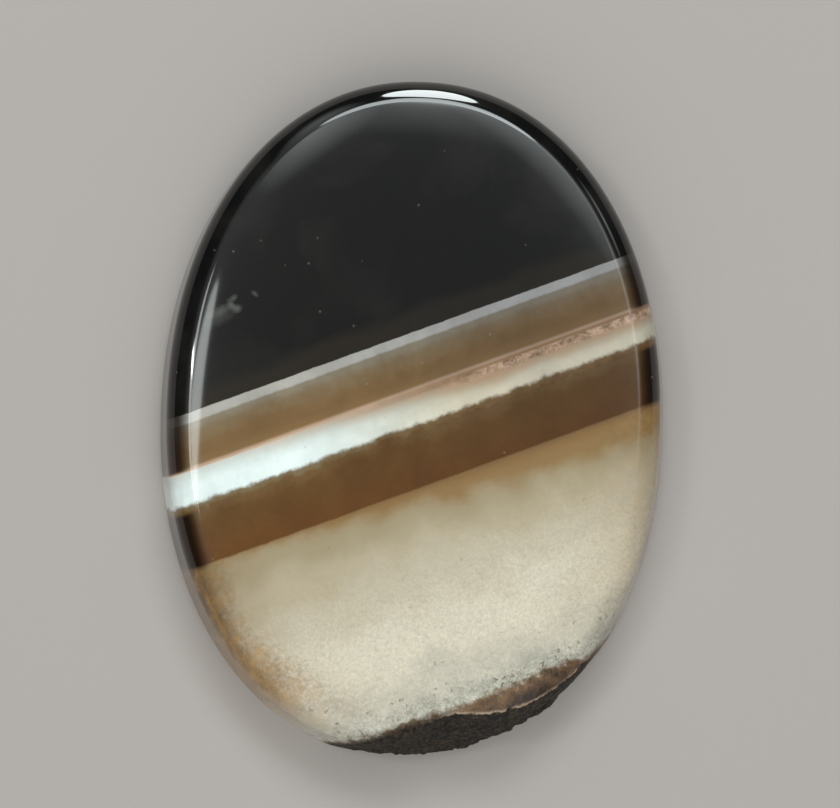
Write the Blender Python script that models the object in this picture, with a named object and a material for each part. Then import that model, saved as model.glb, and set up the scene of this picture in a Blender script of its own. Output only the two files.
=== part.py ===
"""A polished oval cabochon of sulemani agate, a chalcedony banded in black, brown, white and cream.

Metres, +Z up. The flat back lies on z = 0, the long axis runs along Y, and the origin is under the
middle of the oval. The bands cross the stone at a slant. Where they end, the cutter left a patch of
the rough natural rind.
"""

import math

import bmesh
import bpy
from mathutils import Vector, noise

MM = 0.001

# The ground oval, seen from above
LENGTH = 40.0 * MM
WIDTH = 29.6 * MM
OUTLINE_POWER = 2.105  # 2 would be a plain ellipse, more is squarer
SEGMENTS = 144

# The section from the flat back up to the top of the dome
THICKNESS = 5.6 * MM
BACK_CHAMFER = 0.5 * MM
GIRDLE_HEIGHT = 0.9 * MM
WALL_SLOPE = math.radians(80)
SHOULDER_RADIUS = 1.85 * MM
SHOULDER_STEPS = 8
DOME_SLOPE = math.radians(10)
DOME_RISE = 0.45 * MM
DOME_RINGS = 7

# The bands and the rind, in axes turned with them: "along" runs with the bands, "across" over them
BAND_ANGLE = math.radians(21.6)
RIND_DEEPEST = -4.6 * MM  # along
RIND_REACH = (6.6 * MM, 11.0 * MM)  # to the left and right of the deepest place
RIND_FOOT = 0.32 * MM  # how far inside the oval the rough wall stands, at the girdle
RIND_RUN = 0.50  # how far it leans in for each step up, at the deepest place
RIND_SPREAD = 3.0 * MM  # it leans in half as much this far from there
LUMP_SIZE = 1.5 * MM
LUMP_RELIEF = 0.30 * MM
GRAIN_SIZE = 0.6 * MM
GRAIN_RELIEF = 0.14 * MM
GRAIN_SHIFT = Vector((0, 7, 0))  # so that the grains don't line up with the lumps
EDGE_FADE = 0.25 * MM  # the roughness dies out where the polish starts
CUTTER_TURNS = (math.radians(-112), math.radians(-33))
CUTTER_HEIGHTS = (-0.6 * MM, THICKNESS + 0.6 * MM)
CUTTER_MARGIN = 3.0 * MM
CUTTER_CELLS_ALONG = 56
CUTTER_CELLS_UP = 16

# Where each band starts across the stone, from the rind to the black end, with its colour
BANDS = (
    (-20.0 * MM, (0.091, 0.056, 0.027)),
    (-17.0 * MM, (0.631, 0.597, 0.479)),
    (-8.0 * MM, (0.413, 0.342, 0.216)),
    (-4.3 * MM, (0.122, 0.061, 0.025)),
    (-0.9 * MM, (0.760, 0.775, 0.686)),
    (1.1 * MM, (0.188, 0.122, 0.065)),
    (3.7 * MM, (0.392, 0.366, 0.314)),
    (4.2 * MM, (0.008, 0.008, 0.008)),
)


def clear_scene():
    for thing in list(bpy.data.objects):
        bpy.data.objects.remove(thing, do_unlink=True)


def smooth_step(value):
    share = min(max(value, 0.0), 1.0)
    return share * share * (3.0 - 2.0 * share)


def between(ends, share):
    return ends[0] + (ends[1] - ends[0]) * share


def outline_point(turn):
    """The oval's point at this turn, and the way out of the stone there."""
    cos, sin = math.cos(turn), math.sin(turn)
    half_width, half_length = WIDTH / 2, LENGTH / 2
    power = 2 / OUTLINE_POWER
    x = math.copysign(abs(cos) ** power, cos)
    y = math.copysign(abs(sin) ** power, sin)
    out_x = math.copysign(abs(x) ** (OUTLINE_POWER - 1), cos) / half_width
    out_y = math.copysign(abs(y) ** (OUTLINE_POWER - 1), sin) / half_length
    return Vector((x * half_width, y * half_length, 0)), Vector((out_x, out_y, 0)).normalized()


def rim_section():
    """(inset, height) from the back's edge to the end of the rounded shoulder."""
    shoulder_top = THICKNESS - DOME_RISE
    shoulder_start = shoulder_top - SHOULDER_RADIUS * (math.cos(DOME_SLOPE) - math.cos(WALL_SLOPE))
    wall_run = (shoulder_start - GIRDLE_HEIGHT) / math.tan(WALL_SLOPE)
    section = [(BACK_CHAMFER, 0.0), (0.0, GIRDLE_HEIGHT)]
    for step in range(SHOULDER_STEPS + 1):
        slope = between((WALL_SLOPE, DOME_SLOPE), step / SHOULDER_STEPS)
        inset = wall_run + SHOULDER_RADIUS * (math.sin(WALL_SLOPE) - math.sin(slope))
        height = shoulder_start + SHOULDER_RADIUS * (math.cos(slope) - math.cos(WALL_SLOPE))
        section.append((inset, height))
    return section


def extrude_cap(bm, cap):
    """A new ring of walls round the cap. It returns the cap on top of them."""
    made = bmesh.ops.extrude_face_region(bm, geom=[cap])["geom"]
    walls_below = len(cap.edges[0].link_faces) > 2
    if walls_below:
        bmesh.ops.delete(bm, geom=[cap], context="FACES_ONLY")
    return next(item for item in made if isinstance(item, bmesh.types.BMFace))


def ground_form():
    """The whole oval as a lapidary grinds it, before the rind is taken into account."""
    bm = bmesh.new()
    bmesh.ops.create_circle(bm, cap_ends=True, segments=SEGMENTS, radius=1.0)
    turn = bm.verts.layers.float.new("turn")
    for vertex in bm.verts:
        vertex[turn] = math.atan2(vertex.co.y, vertex.co.x)

    bm.faces.ensure_lookup_table()
    cap = bm.faces[0]
    section = rim_section()
    for ring, (inset, height) in enumerate(section):
        if ring:
            cap = extrude_cap(bm, cap)
        for vertex in cap.verts:
            point, out = outline_point(vertex[turn])
            vertex.co = point - out * inset
            vertex.co.z = height

    inset, height = section[-1]
    power = math.tan(DOME_SLOPE) * (WIDTH / 2 - inset) / DOME_RISE
    for ring in range(1, DOME_RINGS + 1):
        share = 1 - ring / (DOME_RINGS + 1)
        cap = extrude_cap(bm, cap)
        for vertex in cap.verts:
            point, out = outline_point(vertex[turn])
            vertex.co = (point - out * inset) * share
            vertex.co.z = height + DOME_RISE * (1 - share**power)
    middle = bmesh.ops.poke(bm, faces=[cap])["verts"][0]
    middle.co = (0, 0, THICKNESS)

    bmesh.ops.recalc_face_normals(bm, faces=bm.faces)
    return bm


def polished_inset(height):
    """How far inside the oval the polished surface stands at this height."""
    section = rim_section()
    for (inset, low), (next_inset, high) in zip(section, section[1:]):
        if height <= high:
            return between((inset, next_inset), (height - low) / (high - low))
    return section[-1][0] + (height - section[-1][1]) / math.tan(DOME_SLOPE)


def rind_inset(along, height):
    """How far inside the oval the rough surface stands, at a place along the bands and a height."""
    offset = along - RIND_DEEPEST
    foot = RIND_FOOT * (1 - (offset / RIND_REACH[offset > 0]) ** 4)
    run = RIND_RUN / (1 + (offset / RIND_SPREAD) ** 2)
    inset = foot + (height - GIRDLE_HEIGHT) * run
    rough = smooth_step((inset - polished_inset(height)) / EDGE_FADE)
    place = Vector((along, 0, height))
    lumps = noise.noise(place / LUMP_SIZE) * LUMP_RELIEF
    grains = noise.noise(place / GRAIN_SIZE + GRAIN_SHIFT) * GRAIN_RELIEF
    return inset + rough * (lumps + grains)


def rind_cutter():
    """What the stone lacks of the full oval: a curved block whose inner face is the rough surface."""
    bm = bmesh.new()
    turn = bm.verts.layers.float.new("turn")
    bmesh.ops.create_grid(bm, x_segments=CUTTER_CELLS_ALONG, y_segments=CUTTER_CELLS_UP, size=1.0)
    for vertex in bm.verts:
        vertex[turn] = between(CUTTER_TURNS, (vertex.co.x + 1) / 2)
        height = between(CUTTER_HEIGHTS, (vertex.co.y + 1) / 2)
        point, out = outline_point(vertex[turn])
        along = point.x * math.cos(BAND_ANGLE) + point.y * math.sin(BAND_ANGLE)
        vertex.co = point - out * rind_inset(along, height)
        vertex.co.z = height

    made = bmesh.ops.extrude_face_region(bm, geom=list(bm.faces))["geom"]
    for item in made:
        if isinstance(item, bmesh.types.BMVert):
            point, out = outline_point(item[turn])
            item.co = (point + out * CUTTER_MARGIN) + Vector((0, 0, item.co.z))
    bmesh.ops.recalc_face_normals(bm, faces=bm.faces)
    return bm


def band_material():
    """Agate with its bands as colour inside the stone."""
    material = bpy.data.materials.new("polished_sulemani_agate")
    material.use_nodes = True
    nodes, links = material.node_tree.nodes, material.node_tree.links
    shader = nodes["Principled BSDF"]
    shader.inputs["Roughness"].default_value = 0.08
    shader.inputs["Metallic"].default_value = 0.0
    shader.inputs["IOR"].default_value = 1.54

    place = nodes.new("ShaderNodeTexCoord")
    turned = nodes.new("ShaderNodeMapping")
    turned.inputs["Rotation"].default_value = (0, 0, -BAND_ANGLE)
    parts = nodes.new("ShaderNodeSeparateXYZ")
    share = nodes.new("ShaderNodeMapRange")
    share.inputs["From Min"].default_value = -LENGTH / 2
    share.inputs["From Max"].default_value = LENGTH / 2
    ramp = nodes.new("ShaderNodeValToRGB")
    ramp.color_ramp.interpolation = "CONSTANT"
    for band, (start, colour) in enumerate(BANDS):
        position = start / LENGTH + 0.5
        stops = ramp.color_ramp.elements
        stop = stops[band] if band < 2 else stops.new(position)
        stop.position = position
        stop.color = (*colour, 1)
    links.new(place.outputs["Object"], turned.inputs["Vector"])
    links.new(turned.outputs["Vector"], parts.inputs["Vector"])
    links.new(parts.outputs["Y"], share.inputs["Value"])
    links.new(share.outputs["Result"], ramp.inputs["Fac"])
    links.new(ramp.outputs["Color"], shader.inputs["Base Color"])
    return material


def as_object(bm, name):
    mesh = bpy.data.meshes.new(name)
    bm.to_mesh(mesh)
    bm.free()
    thing = bpy.data.objects.new(name, mesh)
    bpy.context.scene.collection.objects.link(thing)
    return thing


def build():
    clear_scene()
    stone = as_object(ground_form(), "agate_cabochon")
    stone.data.materials.append(band_material())
    stone.data.shade_smooth()
    stone.data.set_sharp_from_angle(angle=math.radians(25))

    cutter = as_object(rind_cutter(), "rind_cutter")
    cutter.display_type = "WIRE"
    cutter.hide_render = True
    rind = stone.modifiers.new("rough_rind", "BOOLEAN")
    rind.operation = "DIFFERENCE"
    rind.solver = "EXACT"
    rind.object = cutter


build()
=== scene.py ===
# %% [markdown]
# # A sulemani agate cabochon
#
# The real object is one flat oval of banded chalcedony, ground on a lapidary's wheel and polished until
# it shines like glass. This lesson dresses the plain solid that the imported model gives: it makes a fine
# mesh of the same stone, grows the layers of the agate through it as a pattern, and lights it.

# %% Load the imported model
import math

import bmesh
import bpy
from mathutils import Matrix, Vector, noise


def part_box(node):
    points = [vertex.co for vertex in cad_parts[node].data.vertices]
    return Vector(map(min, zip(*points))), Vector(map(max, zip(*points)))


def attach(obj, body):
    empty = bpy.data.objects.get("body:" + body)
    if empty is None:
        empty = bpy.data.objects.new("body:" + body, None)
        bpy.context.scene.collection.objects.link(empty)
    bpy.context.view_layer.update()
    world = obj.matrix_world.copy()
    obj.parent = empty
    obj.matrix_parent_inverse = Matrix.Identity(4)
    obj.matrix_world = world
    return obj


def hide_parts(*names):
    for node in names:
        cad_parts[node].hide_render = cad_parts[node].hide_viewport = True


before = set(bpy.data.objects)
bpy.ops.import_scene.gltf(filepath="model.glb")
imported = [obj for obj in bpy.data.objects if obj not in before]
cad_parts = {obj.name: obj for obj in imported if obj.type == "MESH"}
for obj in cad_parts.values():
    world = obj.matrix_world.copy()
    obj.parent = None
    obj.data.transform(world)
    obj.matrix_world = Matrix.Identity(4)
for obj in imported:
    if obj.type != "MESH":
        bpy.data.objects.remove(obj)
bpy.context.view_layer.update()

print("nodes:", list(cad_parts))

# %% [markdown]
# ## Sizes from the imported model
#
# The stone's width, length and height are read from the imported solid, so that this finer mesh can never
# be another size. The oval's half sizes come from the box's high corner, because the rough patch has taken
# a little of the stone away at the low one. Blender counts in metres. A stone is thought of in
# millimetres, so every size here is a number of millimetres times MM.

# %% Sizes of the stone
MM = 0.001
low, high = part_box("agate_cabochon")
HALF_WIDTH, HALF_LENGTH, THICKNESS = high
print("stone:", [round((end - start) / MM, 1) for start, end in zip(low, high)], "mm")

# %% [markdown]
# ## The camera
#
# The camera stands about 16 cm above the stone, a little towards the pale end and the left, so both of
# those rims show. Its back axis is built from the roll of the picture and from those two small tilts, and
# a long lens keeps the oval nearly free of perspective.

# %% Camera
CAMERA_ROLL = math.radians(1.466)
CAMERA_TILT = math.radians(6.5)  # towards the pale end
CAMERA_SIDE = math.radians(2.0)  # towards the left
CAMERA_DISTANCE = 160 * MM
CAMERA_AIM = Vector((0.414, 0.794, 0.9)) * MM
CAMERA_LENS = 116.36
CAMERA_SENSOR = 36

picture_up = Vector((-math.sin(CAMERA_ROLL), math.cos(CAMERA_ROLL), 0))
picture_right = Vector((math.cos(CAMERA_ROLL), math.sin(CAMERA_ROLL), 0))
lean = -picture_up * math.sin(CAMERA_TILT) - picture_right * math.sin(CAMERA_SIDE)
back_axis = lean + Vector((0, 0, math.sqrt(1 - lean.length_squared)))
right_axis = picture_up.cross(back_axis).normalized()
up_axis = back_axis.cross(right_axis)

camera = bpy.data.objects.new("camera", bpy.data.cameras.new("camera"))
camera.data.sensor_width = CAMERA_SENSOR
camera.data.lens = CAMERA_LENS
camera.data.clip_start = 10 * MM
camera.matrix_world = Matrix.Translation(CAMERA_AIM + back_axis * CAMERA_DISTANCE) @ Matrix(
    (right_axis, up_axis, back_axis)
).transposed().to_4x4()
bpy.context.scene.collection.objects.link(camera)
bpy.context.scene.camera = camera
print("camera at", [round(value / MM, 1) for value in camera.matrix_world.translation], "mm")

# %% [markdown]
# ## Colours and nodes
#
# A colour picked from a screen is sRGB, while a shader wants linear light, so one function turns every
# hex value. A second one adds a node with its settings, its input values and its links in one call, which
# keeps a long pattern readable.

# %% Helpers for colours and nodes
def linear(hex_colour):
    """sRGB hex to linear colour with alpha 1."""
    shares = [int(hex_colour[at:at + 2], 16) / 255 for at in (1, 3, 5)]
    return (*(c / 12.92 if c <= 0.04045 else ((c + 0.055) / 1.055) ** 2.4 for c in shares), 1)


def add(tree, kind, inputs=None, **settings):
    """Add a node. An input gets a value or, from another node's socket, a link."""
    node = tree.nodes.new("ShaderNode" + kind)
    for name, value in settings.items():
        setattr(node, name, value)
    for name, value in (inputs or {}).items():
        if isinstance(value, bpy.types.NodeSocket):
            tree.links.new(value, node.inputs[name])
        else:
            node.inputs[name].default_value = value
    return node


print("linear light of a middle grey:", round(linear("#808080")[0], 3))

# %% [markdown]
# ## Floor
#
# A plain floor of pale matt paint. Such paint scatters light evenly and shows the eye no mirror image, so
# nothing draws it away from the stone. The floor is set a hair under the stone's flat back, so that the two
# faces don't fight for the same place.

# %% Floor
FLOOR_DROP = 0.02 * MM
FLOOR_REACH = 2000 * MM  # from its middle to its edge


def plain_floor():
    bm = bmesh.new()
    bmesh.ops.create_grid(bm, x_segments=1, y_segments=1, size=FLOOR_REACH)
    bmesh.ops.translate(bm, verts=bm.verts, vec=(0, 0, -FLOOR_DROP))
    mesh = bpy.data.meshes.new("floor")
    bm.to_mesh(mesh)
    bm.free()
    floor = bpy.data.objects.new("floor", mesh)
    bpy.context.scene.collection.objects.link(floor)
    return floor


matt_paint = bpy.data.materials.new("matt_pale_paint")
matt_paint.use_nodes = True
paint = matt_paint.node_tree.nodes["Principled BSDF"]
paint.inputs["Base Color"].default_value = linear("#A8A29F")
paint.inputs["Roughness"].default_value = 0.9
paint.inputs["Specular IOR Level"].default_value = 0.0

floor = plain_floor()
floor.data.materials.append(matt_paint)
print("floor ready")

# %% [markdown]
# ## Light
#
# A glossy black stone shows little of its own colour: what the eye sees on it is the room. So the light
# decides the look as much as the pattern does, and each softbox is placed by where its mirror image has
# to lie. On a shoulder that turns from 80 to 10 degrees the image of a whole softbox is a thin line. A
# card just beyond the black end draws the hard white streak, the softbox above it the line under that,
# and two on the left draw the double line down the left shoulder, with a small spot for the glint on it.
# So near, the card would also pour light on the floor, so only its mirror image is kept. The overhead fill
# is its opposite: a photographer takes its mirror image away with a polariser, and it lights every colour
# without a veil on the polish.

# %% Softboxes
FAR = 400 * MM
MIDDLE = Vector((0, 0, 0))
BLACK_TIP = Vector((0.3 * MM, HALF_LENGTH - 1.0 * MM, THICKNESS - 0.6 * MM))
SOFTBOXES = (  # name, seen from, how far, turns from +Y towards +X, rises, brightness, colour, what it gives
    ("end_card", BLACK_TIP, 20 * MM, (-16, 24), (8, 42), 17, "#F8FFFF", "image"),
    ("upper_softbox", MIDDLE, FAR, (-22, 30), (44, 61), 8.5, "#F4FDFF", "both"),
    ("left_softbox", MIDDLE, FAR, (-94, -56), (57, 64), 6, "#F8FFFC", "both"),
    ("left_upper_softbox", MIDDLE, FAR, (-94, -54), (64.8, 68.3), 6, "#F8FFFC", "both"),
    ("left_spot", MIDDLE, FAR, (-73.5, -70.5), (54, 62), 45, "#FFFFFF", "both"),
    ("overhead_fill", MIDDLE, FAR, (140, 220), (50, 90), 2.2, "#FFF3E6", "light"),
)


def softbox(name, seen_from, distance, turns, rises, brightness, colour, gives):
    """A flat oval lamp that fills this window of directions, in degrees, seen from a point."""
    turn, half_turn = math.radians(sum(turns) / 2), math.radians(turns[1] - turns[0]) / 2
    rise, half_rise = math.radians(sum(rises) / 2), math.radians(rises[1] - rises[0]) / 2
    way = Vector((math.sin(turn) * math.cos(rise), math.cos(turn) * math.cos(rise), math.sin(rise)))
    lamp = bpy.data.lights.new(name, "AREA")
    lamp.shape = "ELLIPSE"
    lamp.size = 2 * distance * math.tan(half_turn) * math.cos(rise)
    lamp.size_y = 2 * distance * math.tan(half_rise)
    lamp.color = linear(colour)[:3]
    lamp_area = math.pi / 4 * lamp.size * lamp.size_y
    lamp.energy = brightness * lamp_area * math.pi
    box = bpy.data.objects.new(name, lamp)
    box.location = seen_from + way * distance
    box.rotation_mode = "QUATERNION"
    box.rotation_quaternion = way.to_track_quat("Z", "Y")
    box.visible_camera = False
    box.visible_diffuse = gives != "image"
    box.visible_glossy = gives != "light"
    bpy.context.scene.collection.objects.link(box)


for settings in SOFTBOXES:
    softbox(*settings)
print("lamps:", [name for name, *rest in SOFTBOXES])

# %% [markdown]
# The room itself is a grey world. Low down it is dark, a soft ring of wall lies high up, and it dims again
# overhead. The low dome mirrors only the last part of that, as a veil that stops at an arc. Soft glows
# brighten the ring beside the upper softbox and carry its line on down the right shoulder, and a broad one
# on the near side fills the shadows of the pale end.

# %% Room
ROOM = (  # height of the direction (0 at the floor, 1 overhead), brightness
    (0.0, 0.10),
    (0.68, 0.12),
    (0.78, 0.48),
    (0.88, 0.60),
    (0.915, 0.55),
    (0.935, 0.44),
    (0.96, 0.38),
    (1.0, 0.30),
)
DARK_SIDE = 0.6  # the share of that brightness that is left on the near side
SIDE_CHANGE = (-0.4, 0.1)  # the way's Y where the near side ends and where the far side starts
GLOWS = (  # turn, rise, width, height, brightness
    (32, 58, 62, 18, 3.6),
    (5, 62, 56, 14, 1.5),
    (-21, 63, 34, 12, 2.8),
    (-25, 36, 26, 40, 1.6),
    (54, 34, 20, 12, 2.6),
    (66, 57, 44, 12, 2.4),
    (185, 40, 150, 76, 2.2),
)

room = bpy.data.worlds.new("grey_room")
room.use_nodes = True
bpy.context.scene.world = room
way = add(room.node_tree, "TexCoord").outputs["Generated"]
way_parts = add(room.node_tree, "SeparateXYZ", {"Vector": way})
by_height = add(room.node_tree, "ValToRGB", {"Fac": way_parts.outputs["Z"]})
for stop, (height, brightness) in enumerate(ROOM):
    stops = by_height.color_ramp.elements
    element = stops[stop] if stop < 2 else stops.new(height)
    element.position = height
    element.color = (brightness, brightness, brightness, 1)
by_side = add(
    room.node_tree,
    "MapRange",
    {
        "Value": way_parts.outputs["Y"],
        "From Min": SIDE_CHANGE[0],
        "From Max": SIDE_CHANGE[1],
        "To Min": DARK_SIDE,
    },
)
strength = add(
    room.node_tree, "Math", {0: by_height.outputs["Color"], 1: by_side.outputs[0]}, operation="MULTIPLY"
).outputs[0]
for turn, rise, width, height, brightness in GLOWS:
    turn, rise = math.radians(turn), math.radians(rise)
    middle = Vector((math.sin(turn) * math.cos(rise), math.cos(turn) * math.cos(rise), math.sin(rise)))
    glow = add(
        room.node_tree,
        "Mapping",
        {
            "Vector": way,
            "Location": middle,
            "Rotation": middle.to_track_quat("Z", "Y").to_euler(),
            "Scale": (math.radians(width / 2) * math.cos(rise), math.radians(height / 2), 1),
        },
        vector_type="TEXTURE",
    )
    shape = add(
        room.node_tree, "TexGradient", {"Vector": glow.outputs["Vector"]}, gradient_type="SPHERICAL"
    )
    strength = add(
        room.node_tree,
        "Math",
        {0: shape.outputs["Fac"], 1: brightness, 2: strength},
        operation="MULTIPLY_ADD",
    ).outputs[0]
background = room.node_tree.nodes["Background"]
background.inputs["Color"].default_value = linear("#F6FDFD")
room.node_tree.links.new(strength, background.inputs["Strength"])
bpy.context.scene.view_settings.view_transform = "Standard"
print("room with", len(GLOWS), "glows")

# %% [markdown]
# ## The oval
#
# Seen from above the stone is a little fuller than an ellipse. A superellipse with a power just over 2
# gives that with one number. Each point also needs the way out of the stone, because the bevelled rim
# follows the oval at an even distance.

# %% Outline
OUTLINE_POWER = 2.105
SEGMENTS = 640


def outline_point(turn):
    """The oval's point at this turn, and the way out of the stone there."""
    cos, sin = math.cos(turn), math.sin(turn)
    x = math.copysign(abs(cos) ** (2 / OUTLINE_POWER), cos)
    y = math.copysign(abs(sin) ** (2 / OUTLINE_POWER), sin)
    out_x = math.copysign(abs(x) ** (OUTLINE_POWER - 1), cos) / HALF_WIDTH
    out_y = math.copysign(abs(y) ** (OUTLINE_POWER - 1), sin) / HALF_LENGTH
    return Vector((x * HALF_WIDTH, y * HALF_LENGTH, 0)), Vector((out_x, out_y, 0)).normalized()


upper_right, way_out = outline_point(math.radians(45))
print("oval at 45 degrees:", [round(value / MM, 2) for value in upper_right.xy], "mm")

# %% [markdown]
# ## The section
#
# From the flat back a small chamfer runs out to the girdle, the widest place. A steep wall rises from it,
# a rounded shoulder turns into a low dome, and the dome's slope dies out towards the middle. The two
# corners of the chamfer are worn round on the real stone, so each gets a short arc of its own.

# %% Section
BACK_CHAMFER = 0.5 * MM
GIRDLE_HEIGHT = 0.9 * MM
CORNER_RADIUS = 0.12 * MM
WALL_SLOPE = math.radians(80)
SHOULDER_RADIUS = 1.85 * MM
DOME_SLOPE = math.radians(10)
DOME_RISE = 0.45 * MM
WALL_RINGS = 30
SHOULDER_RINGS = 26
DOME_RINGS = 46


def between(ends, share):
    return ends[0] + (ends[1] - ends[0]) * share


def rounded(before, corner, after, steps=4):
    """A corner of the section, rounded by a short curve that leaves both sides smoothly."""
    start = corner + (before - corner).normalized() * CORNER_RADIUS
    end = corner + (after - corner).normalized() * CORNER_RADIUS
    curve = []
    for step in range(steps + 1):
        share = step / steps
        curve.append(start.lerp(corner, share).lerp(corner.lerp(end, share), share))
    return curve


def rim_section():
    """(inset, height) from the flat back to the end of the shoulder."""
    top = THICKNESS - DOME_RISE
    start = top - SHOULDER_RADIUS * (math.cos(DOME_SLOPE) - math.cos(WALL_SLOPE))
    run = (start - GIRDLE_HEIGHT) / math.tan(WALL_SLOPE)
    flat_end = Vector((BACK_CHAMFER * 3, 0))  # the first ring, well inside the flat back
    back_edge = Vector((BACK_CHAMFER, 0))
    girdle = Vector((0, GIRDLE_HEIGHT))
    wall_end = Vector((run, start))
    section = [flat_end, *rounded(flat_end, back_edge, girdle), *rounded(back_edge, girdle, wall_end)]
    foot = section[-1]
    section += [foot.lerp(wall_end, ring / WALL_RINGS) for ring in range(1, WALL_RINGS)]
    for ring in range(SHOULDER_RINGS + 1):
        slope = between((WALL_SLOPE, DOME_SLOPE), ring / SHOULDER_RINGS)
        inset = run + SHOULDER_RADIUS * (math.sin(WALL_SLOPE) - math.sin(slope))
        height = start + SHOULDER_RADIUS * (math.cos(slope) - math.cos(WALL_SLOPE))
        section.append(Vector((inset, height)))
    return section


section = rim_section()
print("section:", len(section), "rings up to the dome")

# %% [markdown]
# ## Growing the stone
#
# The mesh starts as a filled circle and its cap is extruded ring by ring: every ring is the oval, moved in
# by the section's inset and up to its height. The dome's rings shrink towards the middle instead. The
# rough patch needs the finest grid, so the spokes of the circle are drawn together there and apart on the
# far side, and the dome's rings are closer near its edge.

# %% Mesh of the ground stone
ROUGH_MIDDLE = math.radians(-72)  # the turn at the middle of the rough patch
SPOKE_GATHER = 0.72  # 0 would spread the spokes evenly
RING_GATHER = 1.6  # 1 would spread the dome's rings evenly


def extrude_cap(bm, cap):
    """A new ring of walls round the cap. It returns the cap on top of them."""
    made = bmesh.ops.extrude_face_region(bm, geom=[cap])["geom"]
    if len(cap.edges[0].link_faces) > 2:
        bmesh.ops.delete(bm, geom=[cap], context="FACES_ONLY")
    return next(item for item in made if isinstance(item, bmesh.types.BMFace))


def ground_form():
    bm = bmesh.new()
    bmesh.ops.create_circle(bm, cap_ends=True, segments=SEGMENTS, radius=1.0)
    turn = bm.verts.layers.float.new("turn")
    for vertex in bm.verts:
        spoke = math.atan2(vertex.co.y, vertex.co.x)
        vertex[turn] = spoke - SPOKE_GATHER * math.sin(spoke - ROUGH_MIDDLE)

    bm.faces.ensure_lookup_table()
    cap = bm.faces[0]
    for ring, (inset, height) in enumerate(section):
        if ring:
            cap = extrude_cap(bm, cap)
        for vertex in cap.verts:
            point, out = outline_point(vertex[turn])
            vertex.co = point - out * inset + Vector((0, 0, height))

    inset, height = section[-1]
    power = math.tan(DOME_SLOPE) * (HALF_WIDTH - inset) / DOME_RISE
    for ring in range(1, DOME_RINGS):
        share = 1 - (ring / DOME_RINGS) ** RING_GATHER
        cap = extrude_cap(bm, cap)
        for vertex in cap.verts:
            point, out = outline_point(vertex[turn])
            vertex.co = (point - out * inset) * share
            vertex.co.z = height + DOME_RISE * (1 - share**power)
    middle = bmesh.ops.poke(bm, faces=[cap])["verts"][0]
    middle.co = (0, 0, THICKNESS)
    return bm


stone_form = ground_form()
print("ground form:", len(stone_form.faces), "faces")

# %% [markdown]
# ## The rough rind
#
# The wheel didn't reach all of the pale end: a patch of the nodule's natural skin is left there, a rough
# wall that leans in and breaks the polished shoulder in a chipped crest. Carving it means moving each
# vertex inwards, at its own height, to where the rough wall stands. The wall is a smooth form plus three
# sizes of noise: lumps, grains and fine grit. How far a vertex lies behind the polish is kept as an
# attribute, so that the material knows where the stone is rough.

# %% Rough rind
BAND_ANGLE = math.radians(21.6)  # from the picture's width to the layers
RIND_DEEPEST = -4.6 * MM  # along the layers
RIND_REACH = (6.6 * MM, 11.0 * MM)  # to the left and right of the deepest place
RIND_FOOT = 0.32 * MM
RIND_RUN = 0.50
RIND_SPREAD = 3.0 * MM  # the wall leans in half as much this far from there
RIND_NOISE = (  # size, relief
    (1.5 * MM, 0.30 * MM),
    (0.6 * MM, 0.14 * MM),
    (0.22 * MM, 0.07 * MM),
)
NOISE_SHIFT = Vector((0, 7, 0))  # so that the three sizes don't line up
EDGE_FADE = 0.25 * MM
LOWEST_FACING = 0.5  # the cosine of how far round from the middle of the patch to look
DEEPEST_INSET = 5 * MM


def smooth_step(value):
    share = min(max(value, 0.0), 1.0)
    return share * share * (3.0 - 2.0 * share)


def rind_inset(along, height, polished):
    """How far inside the oval the rough wall stands."""
    offset = along - RIND_DEEPEST
    foot = RIND_FOOT * (1 - (offset / RIND_REACH[offset > 0]) ** 4)
    run = RIND_RUN / (1 + (offset / RIND_SPREAD) ** 2)
    inset = foot + (height - GIRDLE_HEIGHT) * run
    rough = smooth_step((inset - polished) / EDGE_FADE)
    place = Vector((along, 0, height))
    for octave, (size, relief) in enumerate(RIND_NOISE):
        inset += rough * relief * noise.noise(place / size + NOISE_SHIFT * octave)
    return inset


def carve_rind(bm):
    turn = bm.verts.layers.float["turn"]
    rough = bm.verts.layers.float.new("rough")
    rim = bm.verts.layers.float.new("rim")
    for vertex in bm.verts:
        point, out = outline_point(vertex[turn])
        polished = (point - vertex.co).dot(out)
        vertex[rim] = polished / MM
        facing = math.cos(vertex[turn] - ROUGH_MIDDLE)
        if facing < LOWEST_FACING or polished > DEEPEST_INSET:
            continue
        along = point.x * math.cos(BAND_ANGLE) + point.y * math.sin(BAND_ANGLE)
        behind = rind_inset(along, vertex.co.z, polished) - polished
        if behind > 0:
            vertex.co -= out * behind
            vertex[rough] = smooth_step(behind / EDGE_FADE)


carve_rind(stone_form)
rough_layer = stone_form.verts.layers.float["rough"]
print("rough vertices:", sum(vertex[rough_layer] > 0 for vertex in stone_form.verts))

# %% [markdown]
# ## From form to object
#
# The normals are turned outwards, and the faces shaded smooth, with the crest and the grains of the rind
# left sharp.

# %% Stone object
SAME_PLACE = 0.0005 * MM
SHARPEST_SMOOTH = math.radians(40)


def finished(bm, name):
    bmesh.ops.remove_doubles(bm, verts=bm.verts, dist=SAME_PLACE)
    bmesh.ops.recalc_face_normals(bm, faces=bm.faces)
    mesh = bpy.data.meshes.new(name)
    bm.to_mesh(mesh)
    bm.free()
    mesh.shade_smooth()
    mesh.set_sharp_from_angle(angle=SHARPEST_SMOOTH)
    thing = bpy.data.objects.new(name, mesh)
    bpy.context.scene.collection.objects.link(thing)
    return thing


stone = finished(stone_form, "polished_stone")
print("stone:", sum(len(face.vertices) - 2 for face in stone.data.polygons), "triangles")

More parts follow.
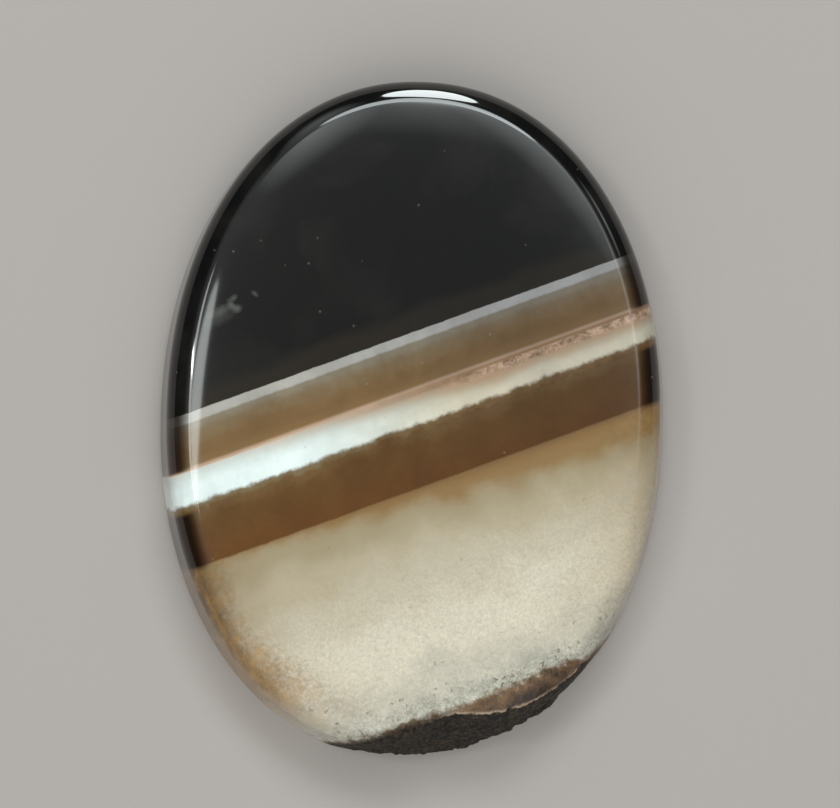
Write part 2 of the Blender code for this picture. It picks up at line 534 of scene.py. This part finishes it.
# %% [markdown]
# ## Polished chalcedony
#
# Chalcedony is a felt of quartz fibres, so it has quartz's refraction, 1.54. Ground and polished with
# finer and finer powders, it gives the eye a sharp mirror image over a soft deep colour. Its layers are
# flat sheets that cross the whole stone at a slant. The pattern is therefore drawn on two measures taken
# inside the stone: how far along the layers a point lies, and how far across them, both in millimetres.

# %% Measures inside the stone
LAYER_LEAN = 0.15  # mm towards the black end for each mm deeper

agate = bpy.data.materials.new("polished_chalcedony")
agate.use_nodes = True
tree = agate.node_tree
shader = tree.nodes["Principled BSDF"]
shader.inputs["IOR"].default_value = 1.54

place = add(tree, "TexCoord").outputs["Object"]
shoulder_mm = (THICKNESS - DOME_RISE) / MM
stone_mm = add(
    tree,
    "Mapping",
    {
        "Vector": place,
        "Location": (0, 0, -shoulder_mm),
        "Rotation": (0, 0, -BAND_ANGLE),
        "Scale": (1 / MM,) * 3,
    },
).outputs["Vector"]
parts = add(tree, "SeparateXYZ", {"Vector": stone_mm})
along_mm = parts.outputs["X"]
across_mm = add(
    tree, "Math", {0: parts.outputs["Z"], 1: LAYER_LEAN, 2: parts.outputs["Y"]}, operation="MULTIPLY_ADD"
).outputs[0]
rough_share = add(tree, "Attribute", attribute_name="rough").outputs["Fac"]
rim_mm = add(tree, "Attribute", attribute_name="rim").outputs["Fac"]
print("layers turned by", round(math.degrees(BAND_ANGLE), 1), "degrees")

# %% [markdown]
# ## Unevenness
#
# Nothing grown in rock is even. Four noises, from clouds of a few millimetres down to grit that is only
# just seen, are made once and used for everything after: ragged layer edges, stains, grain and relief.
# The real fibres are finer than a hair, so the grit is drawn as coarse as it needs to be to show. Each
# noise swings between about -0.5 and 0.5.

# %% Noises
NOISES = (  # name, size in mm, detail, share kept by each finer octave
    ("clouds", 3.2, 3.0, 0.55),
    ("teeth", 0.75, 3.5, 0.6),
    ("grain", 0.30, 2.0, 0.65),
    ("grit", 0.15, 1.0, 0.6),
)
NOISE_LOW, NOISE_HIGH = 0.28, 0.72  # most of what a noise texture gives lies between these
uneven = {}
for name, size, detail, kept in NOISES:
    texture = add(
        tree, "TexNoise", {"Vector": stone_mm, "Scale": 1 / size, "Detail": detail, "Roughness": kept}
    )
    uneven[name] = add(
        tree,
        "MapRange",
        {
            "Value": texture.outputs["Fac"],
            "From Min": NOISE_LOW,
            "From Max": NOISE_HIGH,
            "To Min": -0.5,
            "To Max": 0.5,
        },
        clamp=False,
        label=name,
    ).outputs[0]
print("noises:", list(uneven))

# %% [markdown]
# ## The layers
#
# From the rind to the black end the layers are: brown skin, a crust of white grains, chalky cream, tan,
# smoky brown, milk white with a pink side, a peach line, brown again, a hairline of grey, and black. The
# skin comes first. It is two browns, mixed by the noises, and it gets darker outwards.

# %% Skin
SKIN_MIDDLE = -17.3
SKIN_FADE = 0.9  # how much darker it gets for each mm outwards
skin_tone = add(tree, "Math", {0: uneven["clouds"], 1: uneven["teeth"]}, operation="ADD").outputs[0]
skin_depth = add(tree, "Math", {0: across_mm, 1: SKIN_MIDDLE}, operation="SUBTRACT").outputs[0]
skin_tone = add(
    tree, "Math", {0: skin_depth, 1: SKIN_FADE, 2: skin_tone}, operation="MULTIPLY_ADD"
).outputs[0]
skin_tone = add(tree, "MapRange", {"Value": skin_tone, "From Min": -0.5, "From Max": 0.5}).outputs[0]
colour = add(
    tree, "Mix", {0: skin_tone, 6: linear("#2C1E12"), 7: linear("#6B5035")}, data_type="RGBA"
).outputs[2]
print("nodes with the skin:", len(tree.nodes))

# %% [markdown]
# Each of the other layers starts at its own place across the stone, with its own softness and raggedness.
# The hairline is ruled, the milk's lower edge is a row of tiny teeth, and the cream fades like a cloud.
# Laying one colour over the last, with a soft step at every start, keeps each number readable.

# %% Layers of the agate
LAYERS = (  # name, start across, softness, teeth, clouds, shift for each mm along, colour
    ("white crust", -16.62, 0.45, 0.6, 0.5, 0.0, "#A8A598"),
    ("chalk", -15.7, 1.2, 0.5, 1.2, 0.0, "#BDB7A8"),
    ("chalky cream", -14.0, 2.4, 0.0, 2.0, 0.0, "#CCC4B1"),
    ("cream", -10.6, 3.0, 0.0, 2.5, 0.0, "#BAB09C"),
    ("grey cream", -8.2, 2.0, 0.0, 2.0, 0.0, "#AEA28A"),
    ("tan", -6.8, 1.8, 0.0, 1.5, -0.05, "#9C8E72"),
    ("warm tan", -5.5, 1.3, 0.2, 1.0, -0.09, "#896E48"),
    ("smoke edge", -4.72, 0.6, 0.1, 0.4, -0.035, "#82643F"),
    ("dark smoke", -4.30, 0.14, 0.06, 0.0, 0.0, "#603D19"),
    ("smoke", -3.1, 1.6, 0.2, 1.0, 0.0, "#5E401D"),
    ("smoke halo", -1.55, 0.9, 0.3, 0.7, 0.0, "#674E2E"),
    ("green halo", -1.12, 0.3, 0.35, 0.2, 0.0, "#736247"),
    ("milk", -0.80, 0.30, 0.24, 0.10, 0.0, "#DDE8E6"),
    ("pale milk", 0.15, 1.1, 0.0, 0.4, -0.03, "#C4CAC5"),
    ("pink milk", 0.42, 0.9, 0.1, 0.5, -0.07, "#BAA997"),
    ("peach line", 1.03, 0.06, 0.04, 0.0, 0.0, "#BDA28A"),
    ("brown", 1.20, 0.30, 0.04, 0.0, 0.0, "#7C603D"),
    ("deep brown", 1.6, 0.6, 0.2, 0.3, 0.0, "#745938"),
    ("olive brown", 2.6, 1.0, 0.2, 0.5, 0.0, "#776449"),
    ("olive grey", 3.25, 0.6, 0.1, 0.3, 0.0, "#807563"),
    ("hairline", 3.70, 0.16, 0.05, 0.0, 0.004, "#A5A29B"),
    ("dark edge", 4.23, 0.07, 0.05, 0.0, 0.002, "#231D15"),
    ("black", 5.35, 0.9, 0.1, 0.6, 0.0, "#0D0B09"),
)
SHIFT_ENDS = (-12.0, 4.0)  # along the layers, where a shift stops growing
along_middle = add(
    tree, "Clamp", {"Value": along_mm, "Min": SHIFT_ENDS[0], "Max": SHIFT_ENDS[1]}
).outputs[0]
for name, start, softness, teeth, clouds, shift, hex_colour in LAYERS:
    measure = across_mm
    for source, weight in ((uneven["teeth"], teeth), (uneven["clouds"], clouds), (along_middle, -shift)):
        if weight:
            measure = add(
                tree, "Math", {0: source, 1: weight, 2: measure}, operation="MULTIPLY_ADD"
            ).outputs[0]
    reach = add(
        tree,
        "MapRange",
        {"Value": measure, "From Min": start - softness / 2, "From Max": start + softness / 2},
        interpolation_type="SMOOTHSTEP",
    ).outputs[0]
    colour = add(
        tree, "Mix", {0: reach, 6: colour, 7: linear(hex_colour)}, data_type="RGBA", label=name
    ).outputs[2]
print("layers:", len(LAYERS) + 1)

# %% [markdown]
# ## Zones
#
# The rest happens in zones: near the rim, in the pale half, along a vein. A zone is a soft step between
# two places of one measure, 0 at the first place and 1 at the second. Because that is needed so often,
# all the steps are listed here in one table, and made in one loop.

# %% Zones
ZONES = (  # name, measure, place where it is 0, place where it is 1
    ("right", along_mm, -9.0, 9.0),
    ("right_early", along_mm, -8.0, 4.0),
    ("pale_half", across_mm, -4.2, -4.7),
    ("above_milk", across_mm, 1.2, 1.0),
    ("under_peach", across_mm, 0.62, 0.85),
    ("milk_start", across_mm, -1.4, -1.1),
    ("vein_foot", across_mm, 0.36, 0.60),
    ("vein_top", across_mm, 0.97, 0.86),
    ("vein_end", along_mm, 0.5, 6.5),
    ("chalky", across_mm, -5.0, -12.0),
    ("crust_in", across_mm, -15.3, -16.5),
    ("crust_out", across_mm, -17.6, -16.9),
    ("stain_end", across_mm, -16.8, -11.5),
    ("stain_dark", across_mm, -10.5, -6.5),
    ("wall", rim_mm, 2.2, 1.2),
    ("bare_left", along_mm, -3.2, -5.5),
    ("skin", across_mm, -16.4, -17.1),
    ("rock_end", along_mm, 5.3, 4.3),
    ("stone_black", across_mm, 4.3, 5.6),
)
zone = {}
for name, measure, nothing, full in ZONES:
    zone[name] = add(
        tree,
        "MapRange",
        {"Value": measure, "From Min": nothing, "From Max": full},
        interpolation_type="SMOOTHSTEP",
        label=name,
    ).outputs[0]
print("zones:", len(zone))

# %% [markdown]
# ## Thinning and painted shade to the right
#
# The milk layer thins out towards the right, where the smoke behind it shows through: it turns from a
# bluish white to a dull cream. The smoky layers get greyer and darker on that side, and the peach line gets
# duller. Part of the darkening in all three is painted shade, for light that falls off towards the right.
# Multiplying by a tint does all three.

# %% Tints and painted shade towards the right
banded = add(tree, "Math", {0: 1.0, 1: zone["pale_half"]}, operation="SUBTRACT").outputs[0]
milk_zone = add(
    tree, "Math", {0: zone["milk_start"], 1: zone["above_milk"]}, operation="MULTIPLY"
).outputs[0]
peach_zone = add(
    tree, "Math", {0: zone["under_peach"], 1: zone["above_milk"]}, operation="MULTIPLY"
).outputs[0]
# Each tint is partly the stone's own colour and partly painted shade that darkens the right side.
RIGHT_TINTS_AND_SHADE = (  # name, where, which side, tint
    ("smokier with painted shade", banded, zone["right"], "#D6D8E2"),
    ("thinner milk with painted shade", milk_zone, zone["right_early"], "#F8E1C4"),
    ("duller peach with painted shade", peach_zone, zone["right"], "#CFC6BC"),
)
for name, where, side, tint in RIGHT_TINTS_AND_SHADE:
    share = add(tree, "Math", {0: where, 1: side}, operation="MULTIPLY").outputs[0]
    colour = add(
        tree,
        "Mix",
        {0: share, 6: colour, 7: linear(tint)},
        data_type="RGBA",
        blend_type="MULTIPLY",
        label=name,
    ).outputs[2]
print("tints:", [name for name, *rest in RIGHT_TINTS_AND_SHADE])

# %% [markdown]
# ## The granular vein
#
# Right of the middle a vein of coarse grains runs between the peach line and the milk. It is a mix of
# light flecks and dark pits.

# %% Vein
VEIN_CLUMPS = 0.7  # how much the coarser noise bunches the grains
VEIN_FLECKS = (-0.45, 0.5)  # the noise where a grain is darkest and where it is lightest
VEIN_SHARE = 0.75
vein = add(tree, "Math", {0: zone["vein_foot"], 1: zone["vein_top"]}, operation="MULTIPLY").outputs[0]
vein = add(tree, "Math", {0: vein, 1: zone["vein_end"]}, operation="MULTIPLY").outputs[0]
vein_grain = add(
    tree, "Math", {0: uneven["teeth"], 1: VEIN_CLUMPS, 2: uneven["grain"]}, operation="MULTIPLY_ADD"
).outputs[0]
vein_fleck = add(
    tree, "MapRange", {"Value": vein_grain, "From Min": VEIN_FLECKS[0], "From Max": VEIN_FLECKS[1]}
).outputs[0]
vein_colour = add(
    tree, "Mix", {0: vein_fleck, 6: linear("#68503F"), 7: linear("#C2A58E")}, data_type="RGBA"
).outputs[2]
vein_share = add(tree, "Math", {0: vein, 1: VEIN_SHARE}, operation="MULTIPLY").outputs[0]
colour = add(tree, "Mix", {0: vein_share, 6: colour, 7: vein_colour}, data_type="RGBA").outputs[2]
print("nodes with the vein:", len(tree.nodes))

# %% [markdown]
# ## Near the rim
#
# Iron has stained the pale half from outside: its rim is orange brown, in mottles that reach in further on
# the left and get darker towards the smoke. A weaker, even warmth reaches a little further in.

# %% Stain at the rim
STAIN_REACH = (3.7, 0.7)  # mm from the rim where the mottled stain starts and where it is full
STAIN_SHARE = 0.92
WARMTH_REACH = (5.5, 0.8)  # the same for the even warmth around it
WARMTH_SHARE = 0.32
STAIN_PULL = (  # what holds the stain back, by how many mm
    (uneven["clouds"], 0.9),
    (uneven["teeth"], 0.6),
    (uneven["grain"], 0.8),
    (zone["right"], 1.8),
)
stain_reach = rim_mm
for source, weight in STAIN_PULL:
    stain_reach = add(
        tree, "Math", {0: source, 1: weight, 2: stain_reach}, operation="MULTIPLY_ADD"
    ).outputs[0]
stain = add(
    tree,
    "MapRange",
    {
        "Value": stain_reach,
        "From Min": STAIN_REACH[0],
        "From Max": STAIN_REACH[1],
        "To Max": STAIN_SHARE,
    },
    interpolation_type="SMOOTHSTEP",
).outputs[0]
warmth = add(
    tree,
    "MapRange",
    {
        "Value": rim_mm,
        "From Min": WARMTH_REACH[0],
        "From Max": WARMTH_REACH[1],
        "To Max": WARMTH_SHARE,
    },
    interpolation_type="SMOOTHSTEP",
).outputs[0]
stain = add(tree, "Math", {0: stain, 1: warmth}, operation="MAXIMUM").outputs[0]
for side in (zone["pale_half"], zone["stain_end"]):
    stain = add(tree, "Math", {0: stain, 1: side}, operation="MULTIPLY").outputs[0]
STAIN_MOTTLE = ((uneven["grain"], 0.4), (zone["stain_dark"], 0.45))
MOTTLE_ENDS = (-0.5, 0.7)  # orange below the first, dark brown above the second
mottle = uneven["teeth"]
for source, weight in STAIN_MOTTLE:
    mottle = add(tree, "Math", {0: source, 1: weight, 2: mottle}, operation="MULTIPLY_ADD").outputs[0]
mottle = add(
    tree, "MapRange", {"Value": mottle, "From Min": MOTTLE_ENDS[0], "From Max": MOTTLE_ENDS[1]}
).outputs[0]
stain_colour = add(
    tree, "Mix", {0: mottle, 6: linear("#A07C48"), 7: linear("#573A17")}, data_type="RGBA"
).outputs[2]
colour = add(tree, "Mix", {0: stain, 6: colour, 7: stain_colour}, data_type="RGBA").outputs[2]
print("nodes with the stain:", len(tree.nodes))

# %% [markdown]
# On the steep wall the smoky and black layers are painted darker, as painted shade for a wall that faces
# sideways and gets little light. The milk stays as it is.

# %% Painted shade on the wall
not_milk = add(tree, "Math", {0: 1.0, 1: milk_zone}, operation="SUBTRACT").outputs[0]
# Painted shade: the smoky and black layers darken towards the wall.
painted_wall_shade = add(tree, "Math", {0: zone["wall"], 1: banded}, operation="MULTIPLY").outputs[0]
painted_wall_shade = add(tree, "Math", {0: painted_wall_shade, 1: not_milk}, operation="MULTIPLY").outputs[0]
colour = add(
    tree,
    "Mix",
    {0: painted_wall_shade, 6: colour, 7: linear("#584F4C")},
    data_type="RGBA",
    blend_type="MULTIPLY",
).outputs[2]
print("nodes with the dark wall:", len(tree.nodes))

# %% [markdown]
# ## Grain, crust and pits
#
# The pale half is a felt of fine quartz grains. It gets coarser towards the rind and ends in a crust of
# white sparkling grains with open pits between them. Here grain means lightness: each noise brightens and
# darkens the colour a little, in the pale half the more the closer to the rind. In the crust that is partly
# the grains' own colour and partly painted glints on them, with painted shade between them. The smoky
# layers get a faint cloudiness in the same way.

# %% Grain
crust = add(tree, "Math", {0: zone["crust_in"], 1: zone["crust_out"]}, operation="MULTIPLY").outputs[0]
lightness = add(tree, "Value").outputs[0]
lightness.default_value = 1.0
GRAIN_AND_GLINTS = (  # noise, where, strength
    ("grain", zone["chalky"], 0.16),
    ("grit", zone["chalky"], 0.12),
    ("clouds", zone["chalky"], 0.10),
    ("clouds", banded, 0.26),
    ("teeth", banded, 0.12),
    # In the crust: partly grain colour, partly painted glints and painted shade between the grains.
    ("teeth", crust, 0.30),
    ("grain", crust, 0.34),
    ("grit", crust, 0.22),
)
for name, where, amount in GRAIN_AND_GLINTS:
    share = add(tree, "Math", {0: uneven[name], 1: amount}, operation="MULTIPLY").outputs[0]
    lightness = add(tree, "Math", {0: share, 1: where, 2: lightness}, operation="MULTIPLY_ADD").outputs[0]
colour = add(tree, "VectorMath", {0: colour, "Scale": lightness}, operation="SCALE").outputs[0]
print("grains:", len(GRAIN_AND_GLINTS))

# %% [markdown]
# A pit is a small hole. Here each one is the middle of a cell of a Voronoi pattern. Only some cells get one,
# more of them near the rind, and a noise bends the pattern so that no pit is a neat circle.

# %% Pits
PITS = (  # distance between places, radius, how many of them are pits: far from the rind and near it
    (0.80, 0.085, 0.30, 0.34),
    (0.42, 0.11, 0.0, 0.34),
)
PIT_ZONE = (-12.5, -16.3)  # across the layers, where their number changes
PIT_SOFTNESS = 0.5  # of the radius
PIT_RAGGED = 0.45  # how far their outlines wander
WANDER_SIZE = 0.16
wander = add(
    tree, "TexNoise", {"Vector": stone_mm, "Scale": 1 / WANDER_SIZE, "Detail": 1.0}
).outputs["Color"]
wander = add(tree, "VectorMath", {0: wander, "Scale": PIT_RAGGED}, operation="SCALE").outputs[0]
ragged_mm = add(tree, "VectorMath", {0: stone_mm, 1: wander}, operation="ADD").outputs[0]
pits = None
for spacing, radius, far, near in PITS:
    spots = add(tree, "TexVoronoi", {"Vector": ragged_mm, "Scale": 1 / spacing})
    many = add(
        tree,
        "MapRange",
        {
            "Value": across_mm,
            "From Min": PIT_ZONE[0],
            "From Max": PIT_ZONE[1],
            "To Min": far,
            "To Max": near,
        },
    ).outputs[0]
    chosen = add(tree, "Math", {0: spots.outputs["Color"], 1: many}, operation="LESS_THAN").outputs[0]
    size = radius / spacing
    spot = add(
        tree,
        "MapRange",
        {
            "Value": spots.outputs["Distance"],
            "From Min": size * (1 + PIT_SOFTNESS),
            "From Max": size * (1 - PIT_SOFTNESS),
        },
        interpolation_type="SMOOTHSTEP",
    ).outputs[0]
    spot = add(tree, "Math", {0: spot, 1: chosen}, operation="MULTIPLY").outputs[0]
    pits = spot if pits is None else add(tree, "Math", {0: pits, 1: spot}, operation="MAXIMUM").outputs[0]
pits = add(tree, "Math", {0: pits, 1: zone["pale_half"]}, operation="MULTIPLY").outputs[0]
PIT_STRENGTH = (0.22, 0.8)  # faint specks far from the rind, open pits near it
PIT_STRENGTH_ZONE = (-13.0, -16.2)
pit_share = add(
    tree,
    "MapRange",
    {
        "Value": across_mm,
        "From Min": PIT_STRENGTH_ZONE[0],
        "From Max": PIT_STRENGTH_ZONE[1],
        "To Min": PIT_STRENGTH[0],
        "To Max": PIT_STRENGTH[1],
    },
).outputs[0]
pit_share = add(tree, "Math", {0: pits, 1: pit_share}, operation="MULTIPLY").outputs[0]
colour = add(tree, "Mix", {0: pit_share, 6: colour, 7: linear("#51442F")}, data_type="RGBA").outputs[2]
print("sizes of pits:", len(PITS))

# %% [markdown]
# ## Inclusions
#
# Tiny pale flecks hang in the smoky and black layers. Like the pits they are the middles of some Voronoi
# cells, but smaller, round and faint.

# %% Flecks
FLECK_SPACING = 1.1
FLECKS_KEPT = 0.4  # the share of those places that has a fleck
FLECK_EDGE, FLECK_CORE = 0.09, 0.02  # radii, as shares of the spacing
FLECK_SHARE = 0.32
flecks = add(tree, "TexVoronoi", {"Vector": stone_mm, "Scale": 1 / FLECK_SPACING})
fleck_chosen = add(
    tree, "Math", {0: flecks.outputs["Color"], 1: FLECKS_KEPT}, operation="LESS_THAN"
).outputs[0]
fleck = add(
    tree,
    "MapRange",
    {
        "Value": flecks.outputs["Distance"],
        "From Min": FLECK_EDGE,
        "From Max": FLECK_CORE,
        "To Max": FLECK_SHARE,
    },
).outputs[0]
fleck = add(tree, "Math", {0: fleck, 1: fleck_chosen}, operation="MULTIPLY").outputs[0]
fleck = add(tree, "Math", {0: fleck, 1: banded}, operation="MULTIPLY").outputs[0]
colour = add(tree, "Mix", {0: fleck, 6: colour, 7: linear("#8F8474")}, data_type="RGBA").outputs[2]
print("share of the cells with a fleck:", FLECKS_KEPT)

# %% [markdown]
# A cloudy wisp, curled like a comma, lies near the left side of the black layer. It is six soft ovals, bent
# by noise until they flow together.

# %% Wisp
WISP = (  # along, across, length and width in mm, turn in degrees, density
    (-7.62, 9.56, 0.70, 0.44, 20, 0.50),
    (-7.88, 9.24, 0.80, 0.50, -75, 0.50),
    (-7.62, 8.92, 0.80, 0.62, 15, 0.60),
    (-8.60, 9.12, 1.90, 0.60, 6, 0.38),
    (-8.75, 8.80, 2.60, 1.20, 8, 0.25),
    (-6.35, 9.38, 0.66, 0.36, -60, 0.50),
)
WISP_DEPTH = 2.0
WISP_DENSEST = 0.6
BEND_SIZE = 0.7
BEND_REACH = 0.3
bend = add(tree, "TexNoise", {"Vector": stone_mm, "Scale": 1 / BEND_SIZE, "Detail": 2.0}).outputs["Color"]
bend = add(tree, "VectorMath", {0: bend, 1: (0.5, 0.5, 0.5)}, operation="SUBTRACT").outputs[0]
bend = add(tree, "VectorMath", {0: bend, "Scale": BEND_REACH}, operation="SCALE").outputs[0]
bent_mm = add(tree, "VectorMath", {0: stone_mm, 1: bend}, operation="ADD").outputs[0]
wisp = add(tree, "Value").outputs[0]
wisp.default_value = 0.0
for along, across, length, width, turn, density in WISP:
    oval = add(
        tree,
        "Mapping",
        {
            "Vector": bent_mm,
            "Location": (along, across, 0),
            "Rotation": (0, 0, math.radians(turn)),
            "Scale": (length / 2, width / 2, WISP_DEPTH),
        },
        vector_type="TEXTURE",
    ).outputs["Vector"]
    soft = add(tree, "TexGradient", {"Vector": oval}, gradient_type="SPHERICAL").outputs["Fac"]
    wisp = add(tree, "Math", {0: soft, 1: density, 2: wisp}, operation="MULTIPLY_ADD").outputs[0]
wisp = add(tree, "Clamp", {"Value": wisp, "Max": WISP_DENSEST}).outputs[0]
colour = add(tree, "Mix", {0: wisp, 6: colour, 7: linear("#6A6C68")}, data_type="RGBA").outputs[2]
print("ovals in the wisp:", len(WISP))

# %% [markdown]
# Even black agate isn't one flat colour. Very faint veils of a warmer grey drift through it.

# %% Veils
VEIL_SIZE = 5.5
VEIL_START, VEIL_FULL = 0.48, 0.72
VEIL_SHARE = 0.8
veil = add(
    tree, "TexNoise", {"Vector": stone_mm, "Scale": 1 / VEIL_SIZE, "Detail": 3.0, "Distortion": 0.6}
)
veil_share = add(
    tree,
    "MapRange",
    {"Value": veil.outputs["Fac"], "From Min": VEIL_START, "From Max": VEIL_FULL, "To Max": VEIL_SHARE},
).outputs[0]
veil_share = add(tree, "Math", {0: veil_share, 1: zone["stone_black"]}, operation="MULTIPLY").outputs[0]
colour = add(tree, "Mix", {0: veil_share, 6: colour, 7: linear("#1D1C19")}, data_type="RGBA").outputs[2]
print("nodes with the veils:", len(tree.nodes))

# %% [markdown]
# ## Bare rock
#
# The rough patch has no polish, and it starts at a chipped crest. The carved wall has its crest in the
# mesh. To the right of that the crest lies so near the rim that it is drawn: a shallow parabola across the
# layers, with the noise's small teeth.

# %% Drawn crest
CREST_LOWEST = (0.2, -18.0)  # along, across
CREST_BEND = 0.061
CREST_HIGHEST = -17.0  # it rises no further than this, whatever the parabola says
CREST_TEETH = 0.22
CREST_EDGE = (-0.03, 0.05)  # mm below the crest where the rock starts and where it is full
CREST_LINE = (-0.16, -0.08)  # the same for the pale line, which starts above the crest
crest = add(tree, "Math", {0: along_mm, 1: CREST_LOWEST[0]}, operation="SUBTRACT").outputs[0]
crest = add(tree, "Math", {0: crest, 1: crest}, operation="MULTIPLY").outputs[0]
crest = add(tree, "Math", {0: crest, 1: CREST_BEND, 2: CREST_LOWEST[1]}, operation="MULTIPLY_ADD").outputs[0]
crest = add(tree, "Math", {0: crest, 1: CREST_HIGHEST}, operation="MINIMUM").outputs[0]
crest = add(
    tree, "Math", {0: uneven["teeth"], 1: -CREST_TEETH, 2: crest}, operation="MULTIPLY_ADD"
).outputs[0]
below_crest = add(tree, "Math", {0: crest, 1: across_mm}, operation="SUBTRACT").outputs[0]
drawn_rock = add(
    tree, "MapRange", {"Value": below_crest, "From Min": CREST_EDGE[0], "From Max": CREST_EDGE[1]}
).outputs[0]
drawn_rock = add(tree, "Math", {0: drawn_rock, 1: zone["rock_end"]}, operation="MULTIPLY").outputs[0]
drawn_crest = add(
    tree, "MapRange", {"Value": below_crest, "From Min": CREST_LINE[0], "From Max": CREST_LINE[1]}
).outputs[0]
drawn_crest = add(tree, "Math", {0: drawn_crest, 1: zone["rock_end"]}, operation="MULTIPLY").outputs[0]
print("nodes with the crest:", len(tree.nodes))

# %% [markdown]
# The rock is a dark earthy brown with lighter grains, painted darker than its own colour as painted shade,
# for the shadow that the steep broken face lies in. It shows where the mesh is rough, below the drawn crest,
# and where the skin is bare at the left. A thin pale line runs along both crests, chipped away here and
# there.

# %% Rock
CARVED_ROCK = (0.35, 0.8)  # how rough the mesh is where the rock starts and where it is full
CARVED_LINE = (0.02, 0.3)  # the same for the pale line
CREST_CHIPS = (-0.25, 0.15)  # the noise where the line is chipped away and where it is whole
CREST_SHARE = 0.7
ROCK_GRAINS = (-0.2, 0.5)  # the noise where the rock is darkest and where it is lightest
rock_light = add(
    tree,
    "MapRange",
    {"Value": uneven["grain"], "From Min": ROCK_GRAINS[0], "From Max": ROCK_GRAINS[1]},
).outputs[0]
# Both browns are darkened by painted shade.
rock_colour_and_shade = add(
    tree, "Mix", {0: rock_light, 6: linear("#130F0B"), 7: linear("#4A3A29")}, data_type="RGBA"
).outputs[2]
bare_skin = add(tree, "Math", {0: zone["skin"], 1: zone["bare_left"]}, operation="MULTIPLY").outputs[0]
carved = add(
    tree, "MapRange", {"Value": rough_share, "From Min": CARVED_ROCK[0], "From Max": CARVED_ROCK[1]}
).outputs[0]
rock = add(tree, "Math", {0: carved, 1: bare_skin}, operation="MAXIMUM").outputs[0]
rock = add(tree, "Math", {0: rock, 1: drawn_rock}, operation="MAXIMUM").outputs[0]
carved_crest = add(
    tree, "MapRange", {"Value": rough_share, "From Min": CARVED_LINE[0], "From Max": CARVED_LINE[1]}
).outputs[0]
crest_line = add(tree, "Math", {0: carved_crest, 1: drawn_crest}, operation="MAXIMUM").outputs[0]
crest_chips = add(
    tree,
    "MapRange",
    {
        "Value": uneven["teeth"],
        "From Min": CREST_CHIPS[0],
        "From Max": CREST_CHIPS[1],
        "To Max": CREST_SHARE,
    },
).outputs[0]
crest_share = add(tree, "Math", {0: crest_line, 1: crest_chips}, operation="MULTIPLY").outputs[0]
colour = add(tree, "Mix", {0: crest_share, 6: colour, 7: linear("#A8927E")}, data_type="RGBA").outputs[2]
colour = add(tree, "Mix", {0: rock, 6: colour, 7: rock_colour_and_shade}, data_type="RGBA").outputs[2]
tree.links.new(colour, shader.inputs["Base Color"])
print("nodes in the colour:", len(tree.nodes))

# %% [markdown]
# ## Polish and relief
#
# The black and the bands take a mirror polish. The chalky half is a little softer, and its polish is
# duller, the crust doesn't hold one between its grains, and bare rock is matt.

# %% Polish
FINEST_POLISH = 0.06
roughness = add(tree, "Value").outputs[0]
roughness.default_value = FINEST_POLISH
DULLNESS = (  # where, how much rougher
    (zone["chalky"], 0.09),
    (crust, 0.16),
    (pit_share, 0.5),
    (crest_line, 0.2),
    (zone["skin"], 0.15),
    (rock, 0.35),
)
for where, amount in DULLNESS:
    roughness = add(tree, "Math", {0: where, 1: amount, 2: roughness}, operation="MULTIPLY_ADD").outputs[0]
tree.links.new(roughness, shader.inputs["Roughness"])
print("roughness of the black:", FINEST_POLISH)

# %% [markdown]
# The relief is given in millimetres, so that the bump has its true height. The rock's grains are by far the
# highest, the crust's and the vein's can just be felt, and the pits go down.

# %% Relief
relief = add(tree, "Value").outputs[0]
relief.default_value = 0.0
RELIEF = (  # noise, where, height in mm
    ("grain", crust, 0.016),
    ("grit", crust, 0.009),
    ("grain", vein, 0.012),
    ("grit", zone["chalky"], 0.0012),
    ("teeth", zone["skin"], 0.04),
    ("grain", rock, 0.14),
    ("grit", rock, 0.08),
)
for name, where, amount in RELIEF:
    share = add(tree, "Math", {0: uneven[name], 1: amount}, operation="MULTIPLY").outputs[0]
    relief = add(tree, "Math", {0: share, 1: where, 2: relief}, operation="MULTIPLY_ADD").outputs[0]
PIT_DEPTH = 0.025
relief = add(tree, "Math", {0: pit_share, 1: -PIT_DEPTH, 2: relief}, operation="MULTIPLY_ADD").outputs[0]
bump = add(tree, "Bump", {"Height": relief, "Distance": MM})
tree.links.new(bump.outputs["Normal"], shader.inputs["Normal"])
stone.data.materials.append(agate)
print("nodes in the agate:", len(tree.nodes))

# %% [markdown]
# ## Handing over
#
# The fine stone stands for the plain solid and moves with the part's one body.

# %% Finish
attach(stone, "root")
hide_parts("agate_cabochon")
